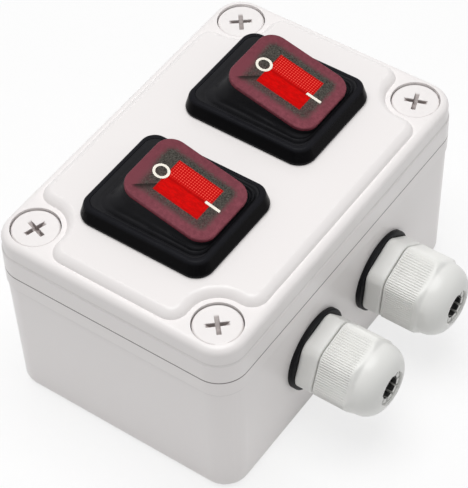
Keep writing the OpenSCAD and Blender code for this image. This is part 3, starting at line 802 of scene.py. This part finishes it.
class SWITCHBOX_OT_screws(bpy.types.Operator):
    """Four lid screws with flat heads, each with its cross turned another way"""
    bl_idname = "switch_box.screws"
    bl_label = "Lid screws"

    def execute(self, context):
        sizes = settings("switch_box_sizes")
        bm = merged("lid_screws")
        slots = sharp_edges(
            bm, lambda p: p.z > LEDGE_Z - HEAD_DEPTH and near_screw(p, CROSS_REACH))
        soften(bm, slots, sizes.slot_round, 2)
        publish(bm, "screws", finish("screw_abs"), "box", ["lid_screws"], 30)
        return {"FINISHED"}


class SWITCHBOX_OT_bezels(bpy.types.Operator):
    """Polished black switch housings with their bezels"""
    bl_idname = "switch_box.bezels"
    bl_label = "Bezels"

    def execute(self, context):
        sizes = settings("switch_box_switches")
        top = PANEL_Z + sizes.rim_height / MM
        for side in SIDES:
            bm = merged(side + "_switch_housing")
            soften(bm, sharp_edges(bm, lambda p: near(p.z, top), 60), sizes.bezel_round, 2)
            publish(bm, side + "_bezel", finish("bezel_nylon"), "box",
                    [side + "_switch_housing"], 30)
        return {"FINISHED"}


class SWITCHBOX_OT_boots(bpy.types.Operator):
    """Rubber boots that fold up from the bezel to the collar under the cap"""
    bl_idname = "switch_box.boots"
    bl_label = "Boots"

    # Each ring of the boot: share of the way out from collar to foot, depth below the rim, share
    # of the climb to the collar, and share of the fold that stands on it
    RINGS = (
        (1.0, 1.3, 0.0, 0.0), (1.0, 0.1, 0.0, 0.0), (0.99, 0.04, 0.0, 0.0), (0.96, 0.02, 0.0, 0.0),
        (0.9, 0.03, 0.0, 0.0), (0.84, 0.08, 0.0, 0.0), (0.79, 0.22, 0.004, 0.0),
        (0.74, 0.42, 0.012, 0.0), (0.69, 0.55, 0.03, 0.05), (0.645, 0.58, 0.055, 0.4),
        (0.6, 0.58, 0.085, 0.85), (0.55, 0.58, 0.12, 1.0), (0.5, 0.6, 0.16, 0.9),
        (0.455, 0.65, 0.205, 0.45), (0.42, 0.7, 0.25, 0.05), (0.38, 0.76, 0.3, 0.0),
        (0.34, 0.82, 0.355, 0.25), (0.3, 0.88, 0.415, 0.75), (0.255, 0.93, 0.48, 0.85),
        (0.21, 0.97, 0.55, 0.5), (0.165, 1.0, 0.625, 0.05), (0.12, 1.0, 0.7, 0.0),
        (0.08, 0.94, 0.78, 0.0), (0.05, 0.95, 0.86, 0.0), (0.03, 0.95, 0.93, 0.0),
        (0.02, 0.95, 1.0, 0.0),
    )
    # Each ring of the collar: how far in it stands, and how far below the collar's top
    COLLAR_RINGS = (
        (0.0, 0.9), (0.0, 0.3), (0.05, 0.12), (0.2, 0.02), (0.5, 0.0), (1.0, 0.0))
    # How far below the collar's top the skirt meets it
    COLLAR_FOOT = 1.1
    # Outlines: corner radii of foot and collar, and half sizes and corner radii of the inside
    FOOT_CORNER = 3.0 * MM
    COLLAR_CORNER = 4.45 * MM
    INNER = (8.9 * MM, 11.4 * MM, 3.2 * MM)
    MOUTH = (10.0 * MM, 14.0 * MM, 3.0 * MM)
    # Climb at which a side is too steep to fold
    STEEP = 7.0 * MM

    def execute(self, context):
        sizes = settings("switch_box_switches")
        foot = (sizes.foot_width / 2, sizes.foot_length / 2, self.FOOT_CORNER)
        collar = (sizes.collar_width / 2, sizes.collar_length / 2, self.COLLAR_CORNER)
        for side in SIDES:
            pivot = joint_place(side + "_rocker_tilt")
            panel = Vector((pivot.x, pivot.y, PANEL_Z * MM))
            tilt = Matrix.Translation(pivot) @ Matrix.Rotation(ROCKER_TILT, 4, "X")

            def fixed(outline, depth):
                """Ring that stays with the bezel, at a depth below its rim"""
                def shape(angle):
                    point = outline_point(angle, outline, 0.0)
                    return panel + Vector((*point, sizes.rim_height - depth * MM))
                return shape

            def moving(outline, inset, drop):
                """Ring that tilts with the cap, below the collar's top"""
                def shape(angle):
                    point = outline_point(angle, outline, inset * MM)
                    return tilt @ Vector((*point, sizes.collar_height - drop * MM))
                return shape

            def skirt(out, depth, climb, folded):
                """Ring between the foot and the collar"""
                foot_ring = fixed(foot, depth)
                collar_ring = moving(collar, 0.0, self.COLLAR_FOOT)

                def shape(angle):
                    low = foot_ring(angle)
                    high = collar_ring(angle)
                    point = high.lerp(low, out)
                    rise = high.z - low.z
                    gentle = max(0.0, 1.0 - rise / self.STEEP)
                    point.z = low.z + rise * climb + sizes.fold * folded * gentle
                    return point
                return shape

            ring = Ring(4, 31)
            ring.loft([
                *(skirt(*values) for values in self.RINGS),
                *(moving(collar, *values) for values in self.COLLAR_RINGS),
                moving(self.INNER, 0.0, 0.05), moving(self.INNER, 0.0, 1.4),
                fixed(self.MOUTH, 0.9), fixed(self.MOUTH, 1.3)])
            piece = publish(ring.bm, side + "_boot", finish("boot_silicone"), None,
                            [side + "_rubber_boot"], 60, False)
            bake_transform(piece)
        return {"FINISHED"}


class SWITCHBOX_OT_lenses(bpy.types.Operator):
    """See-through red caps with their cream marks"""
    bl_idname = "switch_box.lenses"
    bl_label = "Caps"

    def execute(self, context):
        tones = settings("switch_box_finishes")
        for side in SIDES:
            pivot = joint_place(side + "_rocker_tilt")
            bm = merged(side + "_rocker_lens")
            publish(bm, side + "_lens", lit_lens(side + "_lens_red", pivot, tones),
                    side + "_rocker", [side + "_rocker_lens"], 30)
            bm = merged(side + "_rocker_marks")
            publish(bm, side + "_marks", finish("mark_paint"), side + "_rocker",
                    [side + "_rocker_marks"], 30)
        return {"FINISHED"}


class SWITCHBOX_OT_gland_bodies(bpy.types.Operator):
    """Gland bodies with a hexagonal flange and the thread that the nut runs on"""
    bl_idname = "switch_box.gland_bodies"
    bl_label = "Gland bodies"

    # Each ring of the flange: its height, and how far it stands in from the full hexagon
    FLANGE_RINGS = (
        (0.0, 0.55), (0.06, 0.28), (0.22, 0.1), (0.5, 0.0), (1.2, 0.0), (3.9, 0.0),
        (4.35, 0.03), (4.62, 0.14), (4.76, 0.34), (FLANGE_FRONT, 0.7))
    THREAD_STEPS = 48

    def execute(self, context):
        sizes = settings("switch_box_glands")
        flats = sizes.across_flats / MM
        corners = sizes.across_corners / MM
        pitch = sizes.thread_pitch / MM

        def thread(height):
            """Ring of the thread, which fades at both ends"""
            fade = min(1.0, (height - THREAD_START - 0.2) / 0.8, (BODY_END - height) / 0.8)

            def shape(angle):
                phase = (height / pitch - angle / (2 * math.pi)) % 1.0
                groove = soft_step(abs(phase - 0.5) * 2) * max(fade, 0.0)
                return polar(angle, THREAD_RADIUS - THREAD_DEPTH * groove, height)
            return shape

        for side in SIDES:
            turn = HEX_TURN[side]

            def flange(height, inset):
                return lambda angle: polar(
                    angle, hexagon(angle, turn, flats, corners)[0] - inset, height)

            ring = Ring(144)
            ring.loft([
                circle(STUB_END, CABLE_BORE), circle(STUB_END, STUB_TIP_RADIUS),
                circle(STUB_END + 0.4, STUB_RADIUS), circle(0.0, STUB_RADIUS),
                *(flange(*values) for values in self.FLANGE_RINGS),
                circle(FLANGE_FRONT, THREAD_RADIUS),
                *(thread(THREAD_START + i * THREAD_LENGTH / self.THREAD_STEPS)
                  for i in range(self.THREAD_STEPS + 1)),
                circle(BODY_END, BODY_TIP_RADIUS), circle(BODY_END, SEAT_RADIUS),
                circle(SEAT_FLOOR, SEAT_RADIUS), circle(SEAT_FLOOR, CABLE_BORE)])
            ring.bm.transform(gland_frame(side))
            publish(ring.bm, side + "_gland_flange", finish("gland_nylon"), "box",
                    [side + "_gland_body"], 40, False)
        return {"FINISHED"}


class SWITCHBOX_OT_gland_nuts(bpy.types.Operator):
    """Dome nuts with ribbed flats, a round shoulder and an open mouth"""
    bl_idname = "switch_box.gland_nuts"
    bl_label = "Gland nuts"

    # Each ring of the open end: its height on the nut, and how far it stands in
    OPEN_RINGS = ((0.0, 0.3), (0.06, 0.12), (0.2, 0.02), (0.3, 0.0), (0.45, 0.0), (0.6, 0.0))
    # Each ring of the mouth: its depth below the nut's end, and how much wider it is
    MOUTH_RINGS = ((0.03, 0.3), (0.08, 0.1), (0.25, 0.0))
    RIB_RINGS = 5
    DOME_RINGS = 34

    def execute(self, context):
        sizes = settings("switch_box_glands")
        flats = sizes.across_flats / MM
        corners = sizes.across_corners / MM
        start = sizes.nut_start / MM
        end = sizes.nut_end / MM
        dome_round = sizes.dome_round / MM
        dome_in = sizes.dome_radius / MM - dome_round
        mouth = sizes.mouth_radius / MM
        rib_pitch = sizes.rib_pitch / MM
        rib_depth = sizes.rib_depth / MM
        rib_end = sizes.rib_end / MM

        def limit(height):
            """Largest radius at a height: free over the ribs, then a shoulder, then the dome"""
            past = max(height - (end - dome_round), 0.0)
            dome = dome_in + math.sqrt(max(dome_round ** 2 - past ** 2, 0.0))
            return dome + SHOULDER * (1 - soft_step((height - rib_end - 0.2) / 1.5))

        for side in SIDES:
            turn = HEX_TURN[side]

            def outside(height, inset=0.0):
                """Ring of the ribbed hexagon, or of the dome past the ribs' end"""
                ribbed = soft_step((height - start - 0.25) / 0.3)
                ribbed *= soft_step((rib_end + 0.2 - height) / 0.5)

                def shape(angle):
                    radius, along = hexagon(angle, turn, flats, corners)
                    rib = abs(math.sin(math.pi * along / rib_pitch)) ** 0.8
                    radius -= (1 - rib) * rib_depth * ribbed
                    radius = soft_least(radius, limit(height), DOME_BLEND)
                    return polar(angle, radius - inset, height)
                return shape

            dome_start = rib_end - 0.4
            dome_reach = end - 0.02 - dome_start
            heights = [start + 0.6 + i * (dome_start - start - 0.6) / self.RIB_RINGS
                       for i in range(1, self.RIB_RINGS + 1)]
            heights += [dome_start + dome_reach * math.sin(math.pi / 2 * i / self.DOME_RINGS)
                        for i in range(1, self.DOME_RINGS + 1)]
            ring = Ring(6, 127, turn + math.radians(30))
            ring.loft([
                circle(start, NUT_BORE), circle(start, NUT_LIP),
                *(outside(start + height, inset) for height, inset in self.OPEN_RINGS),
                *(outside(height) for height in heights if limit(height) > mouth + 0.35),
                *(circle(end - depth, mouth + wider) for depth, wider in self.MOUTH_RINGS),
                circle(CLAW_TIP, mouth), circle(NUT_SHELF + 0.05, NUT_CONE),
                circle(NUT_SHELF, NUT_BORE)])
            ring.bm.transform(gland_frame(side))
            publish(ring.bm, side + "_nut", finish("gland_nylon"), side + "_nut",
                    [side + "_gland_nut"], 60, False)
        return {"FINISHED"}


class SWITCHBOX_OT_gland_seals(bpy.types.Operator):
    """Black washers, clamping claws and cable seals of the glands"""
    bl_idname = "switch_box.gland_seals"
    bl_label = "Gland washers, claws and seals"

    def execute(self, context):
        sizes = settings("switch_box_glands")
        for side in SIDES:
            bm = merged(side + "_gland_washer")
            soften(bm, sharp_edges(bm, lambda p: p.y < FLANGE_Y + 0.05), sizes.washer_round)
            publish(bm, side + "_washer", finish("seal_silicone"), "box",
                    [side + "_gland_washer"], 30)
            bm = merged(side + "_clamping_claw")
            publish(bm, side + "_claw", finish("claw_nylon"), side + "_insert",
                    [side + "_clamping_claw"], 30)
            bm = merged(side + "_cable_seal")
            publish(bm, side + "_seal", finish("seal_silicone"), side + "_insert",
                    [side + "_cable_seal"], 30)
        return {"FINISHED"}


# Endings of the inner pieces' names, and their finishes
INNER = {
    "lid_gasket": "seal_silicone",
    "_bezel_seal": "seal_silicone",
    "_rocker_frame": "frame_nylon",
    "_pilot_lamp": "lamp_bulb",
    "_lamp_resistor": "resistor_lacquer",
    "_plungers": "plunger_resin",
    "_plunger_springs": "spring_wire",
    "_contact_blades": "contact_strip",
    "_common_terminals": "contact_strip",
    "_load_terminals": "contact_strip",
    "_lock_nut": "gland_nylon",
}


class SWITCHBOX_OT_inner(bpy.types.Operator):
    """Finishes of the pieces inside the box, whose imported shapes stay"""
    bl_idname = "switch_box.inner"
    bl_label = "Inner pieces"

    def execute(self, context):
        for name, node in frame["nodes"].items():
            for ending, look in INNER.items():
                if name.endswith(ending):
                    node.data.materials.clear()
                    node.data.materials.append(finish(look))
        return {"FINISHED"}


class SWITCHBOX_OT_stage(bpy.types.Operator):
    """Pale floor, soft lights and the camera"""
    bl_idname = "switch_box.stage"
    bl_label = "Stage"

    def execute(self, context):
        stage = settings("switch_box_stage")
        scene = context.scene
        scene.view_settings.view_transform = "Standard"
        self.world(scene, stage)
        self.floor(scene, stage)
        self.lamp(scene, "overhead", (0.0, 0.05, 1.1), 0.8, 9.5)
        self.lamp(scene, "side_glow", (0.75, -1.0, 0.45), 0.3, 0.35)
        self.camera(scene, stage)
        return {"FINISHED"}

    def world(self, scene, stage):
        """Even light, and a white background for the rays that see it"""
        world = bpy.data.worlds.new("soft_daylight")
        world.use_nodes = True
        nodes = Nodes(world.node_tree)
        nodes.tree.nodes.clear()
        light = nodes.add("ShaderNodeBackground", {}, {"Color": WHITE, "Strength": stage.sky})
        seen = nodes.add("ShaderNodeBackground", {}, {"Color": WHITE, "Strength": 1.0})
        output = nodes.tree.nodes.new("ShaderNodeOutputWorld")
        nodes.link(
            nodes.mix_shaders(nodes.background_rays(), light, seen), output.inputs["Surface"])
        scene.world = world

    def floor(self, scene, stage):
        """Pale floor that keeps the box's shadow"""
        bm = bmesh.new()
        bmesh.ops.create_grid(bm, x_segments=1, y_segments=1, size=6.0)
        bmesh.ops.translate(bm, verts=bm.verts, vec=(0.0, 0.0, -0.02 * MM))
        mesh = bpy.data.meshes.new("floor")
        bm.to_mesh(mesh)
        bm.free()
        floor = bpy.data.objects.new("floor", mesh)
        scene.collection.objects.link(floor)
        paint = Paint("pale_floor", 0.9, 0.0)
        paint.set("Base Color", stage.floor)
        glow = paint.add("ShaderNodeEmission", {}, {"Color": WHITE, "Strength": 1.0})
        plain = paint.shader.outputs[0]
        both = paint.mix_shaders(paint.background_rays() * 0.75, plain, glow)
        paint.link(both, paint.tree.nodes["Material Output"].inputs["Surface"])
        mesh.materials.append(paint.material)

    def lamp(self, scene, name, place, size, power):
        """Soft square lamp that points at the box"""
        light = bpy.data.lights.new(name, "AREA")
        light.shape = "SQUARE"
        light.size = size
        light.energy = power
        lamp = bpy.data.objects.new(name, light)
        scene.collection.objects.link(lamp)
        lamp.location = place
        aim = Vector(place) - Vector((0.0, 0.0, 0.05))
        lamp.rotation_euler = aim.to_track_quat("Z", "Y").to_euler()

    def camera(self, scene, stage):
        """Camera with a long lens, placed and turned by the stage's settings"""
        data = bpy.data.cameras.new("camera")
        data.sensor_fit = "HORIZONTAL"
        data.sensor_width = 36.0
        data.lens = stage.lens
        data.clip_start = 0.01
        data.clip_end = 50.0
        camera = bpy.data.objects.new("camera", data)
        scene.collection.objects.link(camera)
        place = Vector((stage.camera_x, stage.camera_y, stage.camera_z))
        target = Vector((stage.target_x, stage.target_y, stage.target_z))
        turn = (place - target).to_track_quat("Z", "Y").to_matrix().to_4x4()
        roll = Matrix.Rotation(stage.roll, 4, "Z")
        camera.matrix_world = Matrix.Translation(place) @ turn @ roll
        scene.camera = camera


STEPS = (
    SWITCHBOX_OT_base,
    SWITCHBOX_OT_lid,
    SWITCHBOX_OT_screws,
    SWITCHBOX_OT_bezels,
    SWITCHBOX_OT_boots,
    SWITCHBOX_OT_lenses,
    SWITCHBOX_OT_gland_bodies,
    SWITCHBOX_OT_gland_nuts,
    SWITCHBOX_OT_gland_seals,
    SWITCHBOX_OT_inner,
    SWITCHBOX_OT_stage,
)


class SWITCHBOX_PT_pieces(bpy.types.Panel):
    """Sizes and finishes of the switch box, and a button for each piece"""
    bl_label = "Switch box"
    bl_idname = "SWITCHBOX_PT_pieces"
    bl_space_type = "VIEW_3D"
    bl_region_type = "UI"
    bl_category = "Switch box"

    def draw(self, context):
        for name, group in SETTINGS.items():
            column = self.layout.column(align=True)
            for key in group.__annotations__:
                column.prop(getattr(context.scene, name), key)
        for step in STEPS:
            self.layout.operator(step.bl_idname)


CLASSES = (*SETTINGS.values(), *STEPS, SWITCHBOX_PT_pieces)


def register():
    for cls in CLASSES:
        bpy.utils.register_class(cls)
    for name, group in SETTINGS.items():
        setattr(bpy.types.Scene, name, bpy.props.PointerProperty(type=group))


def unregister():
    for name in SETTINGS:
        delattr(bpy.types.Scene, name)
    for cls in reversed(CLASSES):
        bpy.utils.unregister_class(cls)


def main():
    register()
    bpy.ops.switch_box.stage()
    bpy.ops.switch_box.base()
    bpy.ops.switch_box.lid()
    bpy.ops.switch_box.screws()
    bpy.ops.switch_box.bezels()
    bpy.ops.switch_box.boots()
    bpy.ops.switch_box.lenses()
    bpy.ops.switch_box.gland_bodies()
    bpy.ops.switch_box.gland_nuts()
    bpy.ops.switch_box.gland_seals()
    bpy.ops.switch_box.inner()


if __name__ == "__main__":
    main()
